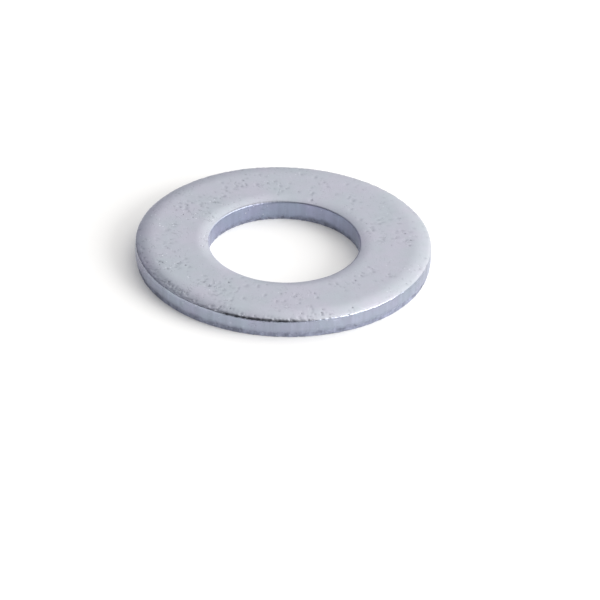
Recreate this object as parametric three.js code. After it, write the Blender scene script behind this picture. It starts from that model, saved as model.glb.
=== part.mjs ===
// A plain round flat washer for an M10 screw, pressed from zinc-plated steel strip.
// It is one solid ring. The punch leaves four zones on each cut wall, from the top face down:
// a roll where the sheet was drawn over the cutting edge, a smooth sheared band, a slanted
// broken band where the steel tore, and a lightly tumbled corner at the bottom face.
// Millimetres, +Z up. The origin is on the bore's axis in the plane of the bottom face.
import * as THREE from "three";

const OUTSIDE_DIAMETER = 20;
const BORE_DIAMETER = 10.5;
const THICKNESS = 1.6;

// How each cut wall looks in section. The roll is as wide as the top face is drawn down, and its
// two shoulders say how far it stays near the top face and near the wall before it turns.
const RIM = {
  rollWidth: 1.2,
  rollDepth: 0.33,
  topShoulder: 0.8,
  wallShoulder: 0.18,
  breakHeight: 0.5,
  breakSlant: 0.08,
  cornerRadius: 0.06,
};
const BORE = {
  rollWidth: 0.7,
  rollDepth: 0.16,
  topShoulder: 0.42,
  wallShoulder: 0.09,
  breakHeight: 0.35,
  breakSlant: 0.1,
  cornerRadius: 0.05,
};

const SIDES_ROUND_THE_RING = 120;
const STEPS_PER_CURVE = 6;

const STEEL = new THREE.MeshStandardMaterial({
  name: "zinc_plated_steel",
  color: 0xbfc3cf,
  metalness: 1,
  roughness: 0.38,
});

// One cut wall's section, from the bottom face up to the top face, as [distance into the metal,
// height] pairs. cornerBend pulls the corner's curve, and the two handles pull the roll's.
function wallSection(wall) {
  const corner = wall.cornerRadius;
  const rollStart = THICKNESS - wall.rollDepth;
  return {
    bottom: [wall.breakSlant + corner, 0],
    cornerBend: [wall.breakSlant, 0],
    cornerEnd: [wall.breakSlant, corner],
    shearStart: [0, wall.breakHeight],
    rollStart: [0, rollStart],
    rollWallHandle: [0, rollStart + wall.wallShoulder],
    rollTopHandle: [wall.rollWidth - wall.topShoulder, THICKNESS],
    top: [wall.rollWidth, THICKNESS],
  };
}

// The ring's whole section as one closed path of radius and height: up the rim, in along the top
// face, down the bore and out along the bottom face.
function ringSection() {
  const rim = wallSection(RIM);
  const bore = wallSection(BORE);
  const atRim = ([inset, height]) => [OUTSIDE_DIAMETER / 2 - inset, height];
  const atBore = ([inset, height]) => [BORE_DIAMETER / 2 + inset, height];
  const path = new THREE.Path();
  path.moveTo(...atRim(rim.bottom));
  path.quadraticCurveTo(...atRim(rim.cornerBend), ...atRim(rim.cornerEnd));
  path.lineTo(...atRim(rim.shearStart));
  path.lineTo(...atRim(rim.rollStart));
  path.bezierCurveTo(...atRim(rim.rollWallHandle), ...atRim(rim.rollTopHandle), ...atRim(rim.top));
  path.lineTo(...atBore(bore.top));
  path.bezierCurveTo(
    ...atBore(bore.rollTopHandle),
    ...atBore(bore.rollWallHandle),
    ...atBore(bore.rollStart),
  );
  path.lineTo(...atBore(bore.shearStart));
  path.lineTo(...atBore(bore.cornerEnd));
  path.quadraticCurveTo(...atBore(bore.cornerBend), ...atBore(bore.bottom));
  path.lineTo(...atRim(rim.bottom));
  return path.getPoints(STEPS_PER_CURVE);
}

// Turns the section round the bore's axis, then stands that axis along +Z.
function washer() {
  const geometry = new THREE.LatheGeometry(ringSection(), SIDES_ROUND_THE_RING);
  geometry.rotateX(Math.PI / 2);
  const mesh = new THREE.Mesh(geometry, STEEL);
  mesh.name = "washer";
  return mesh;
}

const part = new THREE.Group();
part.add(washer());
export default part;
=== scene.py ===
import math
import random

import bpy
import numpy as np
from mathutils import Matrix, Vector, noise


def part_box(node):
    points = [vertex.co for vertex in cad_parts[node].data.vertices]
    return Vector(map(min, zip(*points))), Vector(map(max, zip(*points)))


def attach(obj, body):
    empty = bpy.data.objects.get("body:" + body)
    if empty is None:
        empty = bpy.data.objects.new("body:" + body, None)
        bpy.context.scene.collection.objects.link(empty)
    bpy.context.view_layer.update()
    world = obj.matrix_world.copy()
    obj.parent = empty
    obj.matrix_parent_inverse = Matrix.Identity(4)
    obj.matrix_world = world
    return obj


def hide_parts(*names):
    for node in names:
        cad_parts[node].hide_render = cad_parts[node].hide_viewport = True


MM = 0.001

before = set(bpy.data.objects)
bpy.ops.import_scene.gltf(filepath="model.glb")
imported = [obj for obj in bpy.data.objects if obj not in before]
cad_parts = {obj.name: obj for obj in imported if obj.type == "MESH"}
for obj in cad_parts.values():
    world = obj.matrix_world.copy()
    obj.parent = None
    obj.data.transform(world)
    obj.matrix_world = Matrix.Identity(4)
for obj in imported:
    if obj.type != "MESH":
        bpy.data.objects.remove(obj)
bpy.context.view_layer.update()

# ---------------------------------------------------------------- sizes

node_low, node_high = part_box("washer")
OUTSIDE_RADIUS = (node_high.x - node_low.x) / 2 / MM
THICKNESS = (node_high.z - node_low.z) / MM
BORE_RADIUS = min(v.co.xy.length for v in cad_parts["washer"].data.vertices) / MM

# Each cut wall's section: the roll where the sheet was drawn over the cutting edge, the smooth
# sheared band, and the broken band. The roll is deeper by the share lean on the side lean_towards
# points at. The waver values say how far a size strays round the ring, as a share of itself.
# burnish is how smooth the roll's edge is rubbed, and below 0 it is duller than the rest. The
# seams are where that edge is pinched in and carries a dark line of painted shade: the middle and
# the half length in degrees, and the strength.
RIM = {
    "roll_width": 1.35,
    "roll_depth": 0.25,
    "roll_power": 2.4,
    "edge_radius": 0.045,
    "lean": 0.2,
    "lean_towards": -125,
    "break_height": 0.48,
    "break_slant": 0.08,
    "corner_radius": 0.06,
    "roll_waver": 0.08,
    "edge_waver": 0.03,
    "break_waver": 0.6,
    "burnish": 1.0,
    "shaded_seams": ((-96, 21, 0.9), (-163, 26, 0.5), (62, 30, 0.6), (140, 18, 0.4)),
    "seed": 3,
}
BORE = {
    "roll_width": 1.0,
    "roll_depth": 0.15,
    "roll_power": 2.3,
    "edge_radius": 0.08,
    "lean": 0.3,
    "lean_towards": 172,
    "break_height": 0.34,
    "break_slant": 0.1,
    "corner_radius": 0.05,
    "roll_waver": 0.1,
    "edge_waver": 0.03,
    "break_waver": 0.95,
    "burnish": -0.3,
    "shaded_seams": ((118, 36, 0.42), (-30, 30, 0.3)),
    "seed": 11,
}

# A punched bore is never quite round or central. Its wall stands in towards the axis by BORE_TIGHT
# all round, by BORE_OFF_CENTRE more at -X and less at +X, and by BORE_OVAL more at both of those
# and less at -Y and +Y.
BORE_TIGHT = 0.065
BORE_OFF_CENTRE = 0.07
BORE_OVAL = 0.065

# How many rows of vertices each part of the section gets, and how many columns go round.
COLUMNS = 860
CORNER_ROWS = 3
TORN_ROWS = 9
SHEARED_ROWS = 8
EDGE_ROWS = 5
ROLL_ROWS = 15
TOP_FACE_ROWS = 22
BOTTOM_FACE_ROWS = 13
# Powers that crowd a band's rows towards the roll's edge.
SHEARED_CROWDING = 1.6
ROLL_CROWDING = 1.5

# In a noise, each octave's waves are OCTAVE_STEP times shorter than the last one's, and weaker by
# OCTAVE_STEP to the power of the fade.
OCTAVE_STEP = 2.0
RING_FADE = 1.0
SURFACE_FADE = 0.8

# About how many waves each uneven size makes on its way round the ring.
ROLL_WIDTH_WAVES = 9
ROLL_DEPTH_WAVES = 14
ROLL_EDGE_WAVES = 230
SLOW_TEAR_WAVES = 14
QUICK_TEAR_WAVES = 120
SEAM_WAVES = 260

# A seam is whole in its middle, because its fullness is above 1, and broken up by its ragged share.
# The reach is how far it spreads from the roll's edge, and the depth how far it is pinched in. Its
# near-black colour is painted shade.
SEAM_FULLNESS = 1.1
SEAM_STEADY = 0.8
SEAM_RAGGED = 0.6
SEAM_REACH = 0.04
SEAM_DEPTH = 0.02

# Burnish fades with the distance from the roll's edge, and burrs fade faster, by a power of it.
BURNISH_REACH = 0.13
BURR_DEPTH = 0.03
BURR_FADE = 4

# The torn band is hollow by TEAR_LEDGE: by the share LEDGE_AT_FOOT at its foot, in full above that,
# and not at all at its top. Its mask fades out at the top too. The rise and the falls are how many
# times over that would happen in the band's whole height.
TEAR_LEDGE = 0.02
LEDGE_AT_FOOT = 0.35
LEDGE_RISE = 2
LEDGE_FALL = 4
TORN_FALL = 2.5
TEAR_ROUGHNESS = 0.05
TEAR_CONTRAST = 1.5

STREAK_DEPTH = 0.003
FACE_UNEVENNESS = 0.003

# The noises that shape the surface: waves a millimetre along x, y and z, the seed and the octaves.
TEAR_GRAIN = {"scale": (4.5, 4.5, 2.6), "seed": 5, "octaves": 4}
STREAKS = {"scale": (3.5, 3.5, 0.12), "seed": 8, "octaves": 3}
FACE_SWELL = {"scale": (0.55, 0.55, 0.55), "seed": 17, "octaves": 4}
BURRS = {"scale": (4.6, 4.6, 4.6), "seed": 31, "octaves": 2}

# Each dent is a bowl with a lumpy floor: about DENT_LUMPS lumps across its size, and a depth that is
# the middle share of the full one, give or take up to the uneven share, and at most the last share.
DENT_SEED = 20
DENT_LUMPS = 1.6
DENT_MIDDLE = 0.8
DENT_UNEVEN = 0.9
DENT_MOST = 1.4
# Flocks of them on the faces. A depth is a share of the dent's size.
FLOCKS_A_FACE = 55
FLOCK_FROM_BORE = 0.8
FLOCK_FROM_RIM = 0.9
FLOCK_DENTS = (3, 9)
FLOCK_SPREAD_ROUND = 0.5
FLOCK_SPREAD_OUT = 0.4
FLOCK_SIZES = (0.1, 0.22)
FLOCK_DEPTHS = (0.05, 0.15)
# Single nicks on the rim's roll, and their distance in from the wall.
ROLL_NICKS = 70
NICK_SIZES = (0.08, 0.2)
NICK_INSETS = (0, 0.3)
NICK_DEPTH = 0.12
# Crowds of small nicks on the rim's roll: the middle and the spread in degrees, and how many.
NICK_CROWDS = ((-142, 6, 80), (-160, 8, 14), (-118, 8, 16), (-88, 9, 16), (-66, 7, 12), (100, 12, 20))
CROWD_SIZES = (0.07, 0.14)
CROWD_INSETS = (0.03, 0.5)
CROWD_DEPTH = 0.32
# Long knocks on the rim's roll: from and to, each as degrees round the ring and distance in from the
# wall, then size and depth.
SCRAPES = (
    ((-163, 0.25), (-156, 0.2), 0.16, 0.012),
    ((-152, 0.5), (-147, 0.4), 0.14, 0.012),
    ((-144, 0.45), (-138, 0.3), 0.12, 0.02),
    ((-141, 0.2), (-134, 0.12), 0.1, 0.02),
    ((-129, 0.2), (-126, 0.25), 0.14, 0.012),
    ((-117, 0.1), (-113, 0.12), 0.12, 0.012),
    ((-71, 0.06), (-68, 0.08), 0.1, 0.01),
    ((-44, 0.25), (-41, 0.2), 0.12, 0.01),
    ((25, 0.2), (31, 0.3), 0.16, 0.02),
    ((95, 0.15), (98, 0.1), 0.2, 0.02),
    ((150, 0.35), (159, 0.3), 0.15, 0.015),
)
SCRAPE_LEAST_DENTS = 2
SCRAPE_DENTS_A_DEGREE = 0.6


# ---------------------------------------------------------------- the section

def along_ring(angles, lobes, seed, octaves=3):
    """Smooth noise from -1 to 1 for each angle, with about that many waves round the ring."""
    values = []
    for angle in angles:
        place = Vector((math.cos(angle), math.sin(angle), 0)) * lobes / math.tau
        place += Vector((seed, seed, seed))
        values.append(noise.fractal(place, RING_FADE, OCTAVE_STEP, octaves))
    return np.clip(values, -1, 1)


def shaded_seam_strength(wall, angles):
    """How strong the seam along the roll's edge is at each angle, from 0 to 1: a pinch with a dark line of
    painted shade.
    """
    strength = np.zeros(len(angles))
    for middle, half_length, peak in wall["shaded_seams"]:
        apart = (np.degrees(angles) - middle + 180) % 360 - 180
        fade = np.clip(SEAM_FULLNESS - SEAM_FULLNESS * (apart / half_length) ** 2, 0, 1)
        strength = np.maximum(strength, peak * fade)
    ragged = along_ring(angles, SEAM_WAVES, wall["seed"] + 4)
    return strength * np.clip(SEAM_STEADY + SEAM_RAGGED * ragged, 0, 1)


def roll_size(wall, angles):
    """The roll's width and depth at each angle."""
    seed = wall["seed"]
    width = wall["roll_width"] * (1 + wall["roll_waver"] * along_ring(angles, ROLL_WIDTH_WAVES, seed))
    lean = 1 + wall["lean"] * np.cos(angles - math.radians(wall["lean_towards"]))
    slow = 1 + wall["roll_waver"] * along_ring(angles, ROLL_DEPTH_WAVES, seed + 1)
    quick = 1 + wall["edge_waver"] * along_ring(angles, ROLL_EDGE_WAVES, seed + 5)
    return width, wall["roll_depth"] * lean * slow * quick


def roll_edge(wall, width, depth):
    """The small round edge between roll and wall, as its radius, the roll's drop where it starts
    and the roll's slope there as an angle."""
    reach = 1 - wall["edge_radius"] / width
    drop = depth * reach ** wall["roll_power"]
    slope = np.arctan(wall["roll_power"] * depth / width * reach ** (wall["roll_power"] - 1))
    return wall["edge_radius"] / (1 - np.sin(slope)), drop, slope


def tear_height(wall, angles):
    """The ragged height at which the torn band ends at each angle."""
    slow = along_ring(angles, SLOW_TEAR_WAVES, wall["seed"] + 2, octaves=2)
    quick = along_ring(angles, QUICK_TEAR_WAVES, wall["seed"] + 3, octaves=4)
    return wall["break_height"] * (1 + wall["break_waver"] * (slow / 2 + quick / 2))


def row(angles, place, height, torn=0, wall=0, burnish=0, shaded_seam=0):
    """One row of the grid: its radius or inset, its height and its masks, at every angle."""
    return [np.broadcast_to(value, angles.shape) for value in (place, height, torn, wall, burnish, shaded_seam)]


def edge_masks(away, burnish, shaded_seam):
    """What is left of the burnish and of the seam at that distance from the roll's edge."""
    return burnish * np.exp(-(away / BURNISH_REACH) ** 2), shaded_seam * np.exp(-(away / SEAM_REACH) ** 2)


def wall_rows(wall, angles):
    """One cut wall as rows from the bottom face to the top face. A row's place is its inset, which
    is how far it stands into the metal."""
    corner, slant = wall["corner_radius"], wall["break_slant"]
    width, depth = roll_size(wall, angles)
    edge_radius, edge_drop, edge_slope = roll_edge(wall, width, depth)
    edge_bottom = THICKNESS - edge_drop - edge_radius * np.cos(edge_slope)
    tear_top = tear_height(wall, angles)
    burnish, shaded_seam = wall["burnish"], shaded_seam_strength(wall, angles)
    rows = []
    for step in range(CORNER_ROWS):
        share = step / CORNER_ROWS
        inset = slant + corner * (1 - share) ** 2
        rows.append(row(angles, inset, corner * share ** 2, torn=1, wall=1))
    for step in range(TORN_ROWS):
        share = step / TORN_ROWS
        hollow = min(1, LEDGE_FALL * (1 - share)) * min(1, LEDGE_AT_FOOT + LEDGE_RISE * share)
        inset = slant * (1 - share) + TEAR_LEDGE * hollow
        height = corner + (tear_top - corner) * share
        rows.append(row(angles, inset, height, torn=min(1, TORN_FALL * (1 - share)), wall=1))
    for step in range(SHEARED_ROWS):
        share = 1 - (1 - step / SHEARED_ROWS) ** SHEARED_CROWDING
        height = tear_top + (edge_bottom - tear_top) * share
        rubbed, pinched = edge_masks(edge_bottom - height, burnish, shaded_seam)
        rows.append(row(angles, 0, height, wall=1, burnish=rubbed, shaded_seam=pinched))
    for step in range(EDGE_ROWS):
        share = step / EDGE_ROWS
        tilt = math.pi / 2 + (edge_slope - math.pi / 2) * share
        inset = edge_radius * (1 - np.sin(tilt))
        height = THICKNESS - edge_drop - edge_radius * (np.cos(edge_slope) - np.cos(tilt))
        rows.append(row(angles, inset, height, wall=1 - share, burnish=burnish, shaded_seam=shaded_seam))
    for step in range(ROLL_ROWS + 1):
        share = (step / ROLL_ROWS) ** ROLL_CROWDING
        away = (width - wall["edge_radius"]) * share
        inset = wall["edge_radius"] + away
        height = THICKNESS - depth * np.maximum(1 - inset / width, 0) ** wall["roll_power"]
        rubbed, pinched = edge_masks(away, burnish, shaded_seam)
        rows.append(row(angles, inset, height, burnish=rubbed, shaded_seam=pinched))
    return rows


def face_rows(start_radius, end_radius, height, count, angles):
    """The rows strictly between two radii on a flat face."""
    rows = []
    for step in range(1, count):
        share = step / count
        rows.append(row(angles, start_radius * (1 - share) + end_radius * share, height))
    return rows


def ring_grid(angles):
    """The whole ring as arrays [row, column]: radius, height, and the torn, wall, burnish and seam
    masks. The rows go up the rim, in along the top face, down the bore and out along the bottom."""
    rim = [(OUTSIDE_RADIUS - inset, *rest) for inset, *rest in wall_rows(RIM, angles)]
    tight = BORE_TIGHT - BORE_OFF_CENTRE * np.cos(angles) + BORE_OVAL * np.cos(2 * angles)
    bore_radius = BORE_RADIUS - tight
    bore = [(bore_radius + inset, *rest) for inset, *rest in wall_rows(BORE, angles)][::-1]
    top = face_rows(rim[-1][0], bore[0][0], THICKNESS, TOP_FACE_ROWS, angles)
    bottom = face_rows(bore[-1][0], rim[0][0], 0, BOTTOM_FACE_ROWS, angles)
    return np.moveaxis(np.array([*rim, *top, *bore, *bottom]), 1, 0)


# ---------------------------------------------------------------- wear and tear

def points_of(radius, height, angles):
    """Positions [row, column, xyz] from radius and height."""
    return np.stack([radius * np.cos(angles), radius * np.sin(angles), height], axis=-1)


def normals_of(points):
    """Each grid point's outward direction, from its neighbours along the row and the column."""
    around = np.roll(points, -1, axis=1) - np.roll(points, 1, axis=1)
    across = np.roll(points, -1, axis=0) - np.roll(points, 1, axis=0)
    out = np.cross(around, across)
    least_length = 1e-12
    return out / np.maximum(np.linalg.norm(out, axis=-1, keepdims=True), least_length)


def noise_over(points, scale, seed, octaves):
    """Noise from 0 to 1 at every grid point. Scale is in waves a millimetre for x, y and z."""
    shift = Vector((seed, -seed, seed))
    places = (points * np.array(scale)).reshape(-1, 3)
    values = [noise.fractal(Vector(p) + shift, SURFACE_FADE, OCTAVE_STEP, octaves) for p in places]
    return (np.clip(values, -1, 1) / 2 + 0.5).reshape(points.shape[:2])


def press(surface, centre, size, depth, seed):
    """Presses an uneven dent of that size and depth into the surface round centre, and marks it."""
    distance = np.linalg.norm(surface["points"] - centre, axis=-1)
    near = np.nonzero(distance < size)
    if not len(near[0]):
        return
    bowl = (1 - (distance[near] / size) ** 2) ** 2
    places = surface["points"][near] * DENT_LUMPS / size
    lumps = np.array([noise.noise(Vector(place) + Vector((seed, 0, 0))) for place in places])
    amount = bowl * np.clip(DENT_MIDDLE + DENT_UNEVEN * lumps, 0, DENT_MOST)
    surface["points"][near] -= surface["normals"][near] * (depth * amount)[:, None]
    surface["hurt"][near] = np.maximum(surface["hurt"][near], np.clip(amount, 0, 1))


def on_ring(angle, radius, height):
    """The point at that angle, radius and height."""
    return np.array([radius * math.cos(angle), radius * math.sin(angle), height])


def on_rim_roll(degrees, inset):
    """The point on the rim's roll at that angle, that far in from the wall."""
    drop = RIM["roll_depth"] * (1 - inset / RIM["roll_width"]) ** RIM["roll_power"]
    return on_ring(math.radians(degrees), OUTSIDE_RADIUS - inset, THICKNESS - drop)


def dent_flock(surface, chance, height):
    """A handful of dents close together somewhere on the face at that height."""
    angle = chance.uniform(-math.pi, math.pi)
    radius = chance.uniform(BORE_RADIUS + FLOCK_FROM_BORE, OUTSIDE_RADIUS - FLOCK_FROM_RIM)
    for _ in range(chance.randint(*FLOCK_DENTS)):
        turn = angle + chance.gauss(0, FLOCK_SPREAD_ROUND) / radius
        reach = radius + chance.gauss(0, FLOCK_SPREAD_OUT)
        size = chance.uniform(*FLOCK_SIZES)
        depth = size * chance.uniform(*FLOCK_DEPTHS)
        press(surface, on_ring(turn, reach, height), size, depth, chance.random())


def scrape(surface, start, end, size, depth, seed):
    """Presses a row of dents from start to end, each an (angle in degrees, inset) on the rim's roll."""
    count = SCRAPE_LEAST_DENTS + int(abs(end[0] - start[0]) * SCRAPE_DENTS_A_DEGREE)
    for step in range(count):
        share = step / (count - 1)
        degrees, inset = (a * (1 - share) + b * share for a, b in zip(start, end))
        press(surface, on_rim_roll(degrees, inset), size, depth, seed + step)


def add_dents(surface):
    """Knocks from the tumbling barrel and from other washers: in flocks on both faces, as single
    nicks and crowds of them along the rim's roll, and the few long ones in SCRAPES."""
    chance = random.Random(DENT_SEED)
    for height in (THICKNESS, 0):
        for _ in range(FLOCKS_A_FACE):
            dent_flock(surface, chance, height)
    for _ in range(ROLL_NICKS):
        size = chance.uniform(*NICK_SIZES)
        place = on_rim_roll(chance.uniform(-180, 180), chance.uniform(*NICK_INSETS))
        press(surface, place, size, size * NICK_DEPTH, chance.random())
    for middle, spread, count in NICK_CROWDS:
        for _ in range(count):
            size = chance.uniform(*CROWD_SIZES)
            place = on_rim_roll(chance.gauss(middle, spread), chance.uniform(*CROWD_INSETS))
            press(surface, place, size, size * CROWD_DEPTH, chance.random())
    for start, end, size, depth in SCRAPES:
        scrape(surface, start, end, size, depth, chance.random())


# ---------------------------------------------------------------- the mesh

def ring_mesh():
    """The washer's mesh: the ring's grid, roughened and then dented."""
    angles = np.linspace(0, math.tau, COLUMNS, endpoint=False)
    radius, height, torn, wall, burnish, shaded_seam = ring_grid(angles)
    points = points_of(radius, height, angles)
    normals = normals_of(points)

    # The torn band is pulled in unevenly.
    tear = TEAR_ROUGHNESS * torn * noise_over(points, **TEAR_GRAIN) ** TEAR_CONTRAST
    # The sheared band has fine upright streaks.
    streak = STREAK_DEPTH * wall * (1 - torn) * noise_over(points, **STREAKS)
    # Both faces are a little uneven.
    uneven = FACE_UNEVENNESS * (1 - wall) * noise_over(points, **FACE_SWELL)
    # The roll's edge is pinched along its seams and roughened by small burrs all round.
    pinch = SEAM_DEPTH * shaded_seam + BURR_DEPTH * burnish ** BURR_FADE * noise_over(points, **BURRS)
    points -= normals * (tear + streak + uneven + pinch)[..., None]

    surface = {"points": points, "normals": normals, "hurt": np.zeros(radius.shape)}
    add_dents(surface)
    masks = {"torn": torn, "wall": wall, "burnish": burnish, "shaded_seam": shaded_seam, "hurt": surface["hurt"]}
    return grid_mesh(points, masks)


def grid_mesh(points, masks):
    """The closed grid as a mesh in metres, with each mask as an attribute for the material."""
    mesh = bpy.data.meshes.new("washer_ring")
    rows, columns = points.shape[:2]
    vertex = np.arange(rows * columns).reshape(rows, columns)
    right = np.roll(vertex, -1, axis=1)
    up = np.roll(vertex, -1, axis=0)
    up_right = np.roll(right, -1, axis=0)
    faces = np.stack([vertex, right, up_right, up], axis=-1).reshape(-1, 4)
    mesh.from_pydata((points.reshape(-1, 3) * MM).tolist(), [], faces.tolist())
    for name, mask in masks.items():
        layer = mesh.attributes.new(name, "FLOAT", "POINT")
        layer.data.foreach_set("value", mask.astype(np.float32).ravel())
    mesh.shade_smooth()
    mesh.update()
    return mesh


# ---------------------------------------------------------------- shader nodes

def add(tree, kind, inputs=None, **settings):
    """Adds a node: settings are its own properties, and inputs are sockets to link or values."""
    made = tree.nodes.new(kind)
    for name, value in settings.items():
        setattr(made, name, value)
    for key, value in (inputs or {}).items():
        if isinstance(value, bpy.types.NodeSocket):
            tree.links.new(value, made.inputs[key])
        else:
            made.inputs[key].default_value = value
    return made


def calculate(tree, kind, *values):
    """The result of a Math node."""
    return add(tree, "ShaderNodeMath", dict(enumerate(values)), operation=kind).outputs["Value"]


def product(tree, first, second):
    """The two multiplied: for two masks, the mask of where both are."""
    return calculate(tree, "MULTIPLY", first, second)


def weighted_sum(tree, start, weights, layers):
    """start and every layer that has a weight, times that weight."""
    total = start
    for name, weight in weights.items():
        total = calculate(tree, "MULTIPLY_ADD", layers[name], weight, total)
    return total


def mix(tree, share, first, second, kind="MIX"):
    """Two colours mixed by share. A colour is a socket or (red, green, blue)."""
    factor, color_a, color_b, result = 0, 6, 7, 2
    first, second = [c if isinstance(c, bpy.types.NodeSocket) else (*c, 1) for c in (first, second)]
    inputs = {factor: share, color_a: first, color_b: second}
    return add(tree, "ShaderNodeMix", inputs, data_type="RGBA", blend_type=kind).outputs[result]


def ramp(tree, value, low, high, from_low=0.0, from_high=1.0, kind="LINEAR"):
    """value carried from one range to another, and held at its ends."""
    inputs = {"Value": value, "From Min": from_low, "From Max": from_high, "To Min": low, "To Max": high}
    return add(tree, "ShaderNodeMapRange", inputs, interpolation_type=kind).outputs["Result"]


def stretched(tree, noise_value, low, high, spread):
    """A noise that strays from 0.5 by up to spread, carried to the range from low to high."""
    return ramp(tree, noise_value, low, high, 0.5 - spread, 0.5 + spread)


def scaled(tree, place, factors):
    """A place with its x, y and z multiplied."""
    return add(tree, "ShaderNodeVectorMath", {0: place, 1: factors}, operation="MULTIPLY").outputs["Vector"]


def waves(tree, place, scale, detail, roughness=0.55):
    """Noise with that many waves a millimetre."""
    inputs = {"Vector": place, "Scale": scale, "Detail": detail, "Roughness": roughness}
    return add(tree, "ShaderNodeTexNoise", inputs).outputs["Fac"]


def warped(tree, place, scale, amount):
    """The place moved about by a noise, so that spots in it are not round."""
    push = add(tree, "ShaderNodeTexNoise", {"Vector": place, "Scale": scale}).outputs["Color"]
    inputs = {0: scaled(tree, push, (amount,) * 3), 1: place}
    return add(tree, "ShaderNodeVectorMath", inputs, operation="ADD").outputs["Vector"]


def spots(tree, place, scale, reach, kept):
    """A mask of soft spots, one in some of the cells of a random pattern: reach is a spot's radius
    as a share of a cell, and kept is the share of cells that have one."""
    solid_share = 0.4
    cells = add(tree, "ShaderNodeTexVoronoi", {"Vector": place, "Scale": scale})
    draw = add(tree, "ShaderNodeSeparateColor", {"Color": cells.outputs["Color"]}).outputs["Red"]
    spot = ramp(tree, cells.outputs["Distance"], 1, 0, reach * solid_share, reach, "SMOOTHSTEP")
    return product(tree, spot, calculate(tree, "LESS_THAN", draw, kept))


def worm_marks(tree, place, scale):
    """A mask of short curved marks: where a noise crosses its middle, and another one is high."""
    line_core, line_edge = 0.006, 0.024
    gate_shut, gate_open = 0.5, 0.6
    off_middle = calculate(tree, "SUBTRACT", waves(tree, place, scale, detail=1), 0.5)
    line = ramp(tree, calculate(tree, "ABSOLUTE", off_middle), 1, 0, line_core, line_edge, "SMOOTHSTEP")
    elsewhere = scaled(tree, place, (1.3, -0.9, 1.1))
    gate = ramp(tree, waves(tree, elsewhere, scale, detail=1), 0, 1, gate_shut, gate_open)
    return product(tree, line, gate)


# ---------------------------------------------------------------- materials

# Reflectances of the plating, as linear red, green and blue.
FACE_BLUE = (0.416, 0.450, 0.502)
FACE_LILAC = (0.443, 0.447, 0.520)
SHEARED_LILAC = (0.372, 0.382, 0.485)
SHEARED_BLUE = (0.345, 0.392, 0.465)
TORN_GREY = (0.320, 0.340, 0.430)
# The next one is painted shade: it darkens the bore's wall inside the hole and makes it a little bluer.
BORE_PAINTED_SHADE = (0.88, 0.885, 0.96)
PIT_DARK = (0.10, 0.105, 0.13)
# The next colour is painted shade: the near-black line along the crease at the roll's edge.
SEAM_PAINTED_SHADE = (0.02, 0.02, 0.03)
SPECK_LIGHT = (0.72, 0.74, 0.80)

# How far out from the bore's wall its painted shade stays whole, and where it ends.
BORE_SHADE_WHOLE = 0.25
BORE_SHADE_END = 1.25

# The share of its colour that each kind of mark takes on, and the colour, from the first laid down
# to the last.
MARK_COLORS = {
    "pits": (0.3, PIT_DARK),
    "fine_pits": (0.2, PIT_DARK),
    "worms": (0.3, PIT_DARK),
    "wall_spots": (0.65, PIT_DARK),
    "hurt": (0.18, PIT_DARK),
    "chips": (0.85, PIT_DARK),
    "specks": (0.7, SPECK_LIGHT),
    "scratches": (0.2, SPECK_LIGHT),
    # The seam's mark is painted shade along the crease at the roll's edge.
    "shaded_seam": (1, SEAM_PAINTED_SHADE),
}
# The face's roughness, and what is added to it elsewhere.
FACE_ROUGHNESS = (0.45, 0.53)
ROUGHER = {"wall": -0.1, "torn": 0.18, "hurt": 0.05, "burnish": -0.17}
# How high each layer stands, in millimetres.
RELIEF = {
    "grain": 0.003,
    "mottle": 0.004,
    "pits": -0.012,
    "worms": -0.006,
    "chips": -0.02,
    "fine_pits": -0.005,
    "wall_spots": -0.008,
    "scratches": -0.002,
    "wall_streaks": 0.008,
    "band_tears": 0.05,
}

PAPER_WHITE = (0.72, 0.72, 0.72, 1)
PAPER_GLOW = 0.22
PAPER_ROUGHNESS = 0.8


def zinc_waves(tree, place, masks):
    """The plating's broad patterns, from 0 to 1, by name."""
    streak = waves(tree, scaled(tree, place, (1, 1, 0.08)), scale=2.2, detail=4, roughness=0.6)
    tear = waves(tree, scaled(tree, place, (1, 1, 0.7)), scale=2.6, detail=5, roughness=0.7)
    return {
        "cloud": waves(tree, place, scale=0.42, detail=4),
        "mottle": waves(tree, place, scale=2.2, detail=4, roughness=0.7),
        "grain": waves(tree, place, scale=8, detail=3, roughness=0.6),
        "streak": streak,
        "tear": tear,
        "wall_streaks": product(tree, streak, masks["wall"]),
        "band_tears": product(tree, tear, masks["torn"]),
    }


def flock_strength(tree, place):
    """Where pits gather: in drifts, and more of them towards -X."""
    drifts = ramp(tree, waves(tree, place, scale=0.55, detail=3), 0.06, 1, from_low=0.44, from_high=0.6)
    across = add(tree, "ShaderNodeSeparateXYZ", {0: place}).outputs["X"]
    return product(tree, drifts, ramp(tree, across, 1.6, 0.7, from_low=-6, from_high=3))


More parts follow.
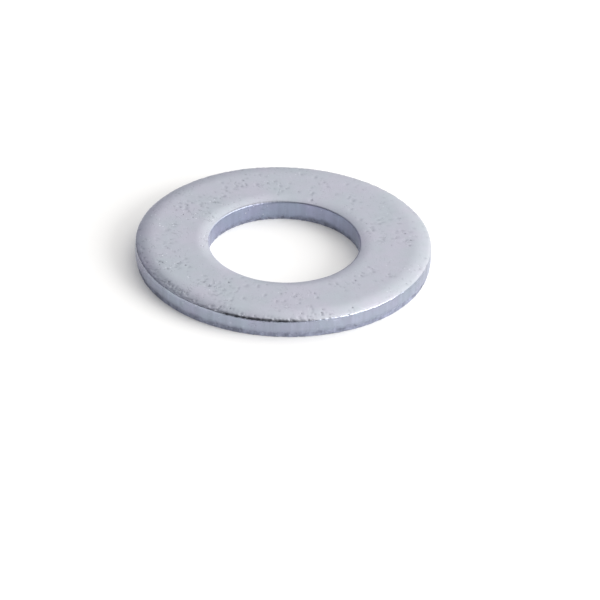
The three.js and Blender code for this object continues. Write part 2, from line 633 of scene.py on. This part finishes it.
def zinc_marks(tree, place, masks):
    """The masks of the plating's small marks, by name."""
    flock = flock_strength(tree, place)
    uneven = warped(tree, place, scale=5, amount=0.16)
    pits = spots(tree, uneven, scale=2.9, reach=0.18, kept=0.3)
    wall_spots = spots(tree, uneven, scale=2.0, reach=0.3, kept=0.35)
    chips = spots(tree, uneven, scale=3.8, reach=0.3, kept=0.7)
    specks = spots(tree, place, scale=3.3, reach=0.18, kept=0.35)
    hairs = spots(tree, scaled(tree, place, (0.25, 3.4, 1)), scale=0.9, reach=0.11, kept=0.4)
    cross_hairs = spots(tree, scaled(tree, place, (2.8, 0.35, 1)), scale=1.0, reach=0.1, kept=0.35)
    return {
        "pits": product(tree, pits, flock),
        "fine_pits": spots(tree, place, scale=5.0, reach=0.25, kept=0.12),
        "worms": product(tree, worm_marks(tree, place, scale=2.6), flock),
        "wall_spots": product(tree, wall_spots, masks["torn"]),
        "chips": product(tree, chips, masks["hurt"]),
        "specks": product(tree, specks, flock),
        "scratches": calculate(tree, "MAXIMUM", hairs, cross_hairs),
    }


def bore_shade_strength(tree, place):
    """How much painted shade the bore's wall gets: 1 at the wall, and 0 further out."""
    flat = scaled(tree, place, (1, 1, 0))
    from_axis = add(tree, "ShaderNodeVectorMath", {0: flat}, operation="LENGTH").outputs["Value"]
    return ramp(tree, from_axis, 1, 0, BORE_RADIUS + BORE_SHADE_WHOLE, BORE_RADIUS + BORE_SHADE_END)


def zinc_color(tree, place, layers):
    """The plating's colour: the face, the sheared band, darkened in the bore by painted shade, and the torn
    band, and then the marks, the last of them the seam's line of painted shade.
    """
    hue = stretched(tree, layers["cloud"], 0, 1, spread=0.15)
    face_shade = stretched(tree, layers["mottle"], 0.95, 1.05, spread=0.25)
    face = mix(tree, 1.0, mix(tree, hue, FACE_BLUE, FACE_LILAC), face_shade, "MULTIPLY")
    sheared_shade = stretched(tree, layers["streak"], 0.88, 1.12, spread=0.25)
    sheared = mix(tree, 1.0, mix(tree, hue, SHEARED_BLUE, SHEARED_LILAC), sheared_shade, "MULTIPLY")
    # The bore's wall is darkened, and made a little bluer, by painted shade inside the hole.
    sheared = mix(tree, bore_shade_strength(tree, place), sheared, BORE_PAINTED_SHADE, "MULTIPLY")
    torn_shade = stretched(tree, layers["tear"], 0.6, 1.3, spread=0.18)
    torn = mix(tree, 1.0, TORN_GREY, torn_shade, "MULTIPLY")
    color = mix(tree, layers["wall"], face, sheared)
    color = mix(tree, layers["torn"], color, torn)
    for name, (share, mark_color) in MARK_COLORS.items():
        color = mix(tree, product(tree, layers[name], share), color, mark_color)
    return color


def zinc_plate():
    """Satin zinc over punched steel. The face is clouded, pitted and finely scratched, the sheared
    band streaked, and the torn band dark and rough."""
    material = bpy.data.materials.new("zinc_plate")
    material.use_nodes = True
    tree = material.node_tree
    shader = tree.nodes["Principled BSDF"]
    shader.inputs["Metallic"].default_value = 1
    metres = add(tree, "ShaderNodeTexCoord").outputs["Object"]
    place = scaled(tree, metres, (1 / MM,) * 3)

    layers = {}
    for name in ("torn", "wall", "burnish", "shaded_seam", "hurt"):
        layers[name] = add(tree, "ShaderNodeAttribute", attribute_name=name).outputs["Fac"]
    layers.update(zinc_waves(tree, place, layers))
    layers.update(zinc_marks(tree, place, layers))

    roughness = stretched(tree, layers["mottle"], *FACE_ROUGHNESS, spread=0.25)
    roughness = weighted_sum(tree, roughness, ROUGHER, layers)
    relief = weighted_sum(tree, 0.0, RELIEF, layers)
    bump = add(tree, "ShaderNodeBump", {"Height": relief, "Strength": 1.0, "Distance": MM})
    tree.links.new(zinc_color(tree, place, layers), shader.inputs["Base Color"])
    tree.links.new(roughness, shader.inputs["Roughness"])
    tree.links.new(bump.outputs["Normal"], shader.inputs["Normal"])
    return material


def floor_paper():
    """White paper on a light table, which keeps shadows faint."""
    material = bpy.data.materials.new("floor_paper")
    material.use_nodes = True
    shader = material.node_tree.nodes["Principled BSDF"]
    shader.inputs["Base Color"].default_value = PAPER_WHITE
    shader.inputs["Emission Color"].default_value = (1, 1, 1, 1)
    shader.inputs["Emission Strength"].default_value = PAPER_GLOW
    shader.inputs["Roughness"].default_value = PAPER_ROUGHNESS
    shader.inputs["Specular IOR Level"].default_value = 0.0
    return material


# ---------------------------------------------------------------- the washer

washer = bpy.data.objects.new("washer_ring", ring_mesh())
bpy.context.scene.collection.objects.link(washer)
washer.data.materials.append(zinc_plate())
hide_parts("washer")
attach(washer, "root")

# ---------------------------------------------------------------- the floor

FLOOR_SIZE = 6000
FLOOR_GAP = 0.01
floor_height = node_low.z - FLOOR_GAP * MM
bpy.ops.mesh.primitive_plane_add(size=FLOOR_SIZE * MM, location=(0, 0, floor_height))
floor = bpy.context.object
floor.name = "floor"
floor.data.materials.append(floor_paper())

# ---------------------------------------------------------------- the light


def direction(azimuth, elevation):
    """The unit vector towards azimuth, in degrees from +X to +Y, and elevation."""
    azimuth, elevation = math.radians(azimuth), math.radians(elevation)
    return Vector((
        math.cos(azimuth) * math.cos(elevation),
        math.sin(azimuth) * math.cos(elevation),
        math.sin(elevation),
    ))


# A pale studio. The world is dim but for one wide soft source, high on the right and a little behind
# the washer, and a black card low on the left in front darkens it there. A second source, low on the
# right in front, is a sun lamp as wide as a softbox. An edge and a core are cosines of the angle
# away from a direction: at the edge a source or the card begins, and at the core it is whole.
DIM = (0.49, 0.49, 0.55)
BRIGHT = (1.85, 1.82, 1.74)
WIDE_SOURCE = direction(22, 35)
WIDE_SOURCE_EDGE = 0.32
WIDE_SOURCE_CORE = 0.73
CARD = direction(-125, 26)
CARD_EDGE = 0.4
CARD_CORE = 0.8
CARD_DARKNESS = 0.9
LOW_SOURCE = direction(-26, 13)
LOW_SOURCE_WIDTH = math.radians(50)
LOW_SOURCE_ENERGY = 4.3


def nearness(tree, target):
    """At each point of the world's sky, the cosine of its angle away from the target direction."""
    way = add(tree, "ShaderNodeTexCoord").outputs["Generated"]
    inputs = {0: way, 1: target}
    return add(tree, "ShaderNodeVectorMath", inputs, operation="DOT_PRODUCT").outputs["Value"]


def studio_world():
    """The world's light: the wide source and the card."""
    world = bpy.data.worlds.new("studio")
    world.use_nodes = True
    tree = world.node_tree
    background = tree.nodes["Background"]
    lit = ramp(tree, nearness(tree, WIDE_SOURCE), 0, 1, WIDE_SOURCE_EDGE, WIDE_SOURCE_CORE)
    shade = ramp(tree, nearness(tree, CARD), 1, 1 - CARD_DARKNESS, CARD_EDGE, CARD_CORE)
    tree.links.new(mix(tree, lit, DIM, BRIGHT), background.inputs["Color"])
    tree.links.new(shade, background.inputs["Strength"])
    return world


bpy.context.scene.world = studio_world()

sun = bpy.data.objects.new("low_source", bpy.data.lights.new("low_source", "SUN"))
sun.data.angle = LOW_SOURCE_WIDTH
sun.data.energy = LOW_SOURCE_ENERGY
sun.rotation_mode = "QUATERNION"
sun.rotation_quaternion = LOW_SOURCE.to_track_quat("Z", "Y")
bpy.context.scene.collection.objects.link(sun)

# ---------------------------------------------------------------- the camera

# The camera stands back from AIM in front of the washer, which is towards -Y.
AIM = Vector((1.236, -6.38, 0.8))
CAMERA_DISTANCE = 653.7
CAMERA_BACK = direction(-90.126, 31.58)
CAMERA_ROLL = math.radians(1.912)
CAMERA_LENS = 585
camera = bpy.data.objects.new("camera", bpy.data.cameras.new("camera"))
camera.data.lens = CAMERA_LENS
turn = CAMERA_BACK.to_track_quat("Z", "Y").to_matrix() @ Matrix.Rotation(CAMERA_ROLL, 3, "Z")
camera.matrix_world = Matrix.Translation((AIM + CAMERA_BACK * CAMERA_DISTANCE) * MM) @ turn.to_4x4()
bpy.context.scene.collection.objects.link(camera)
bpy.context.scene.camera = camera
bpy.context.scene.view_settings.view_transform = "Standard"
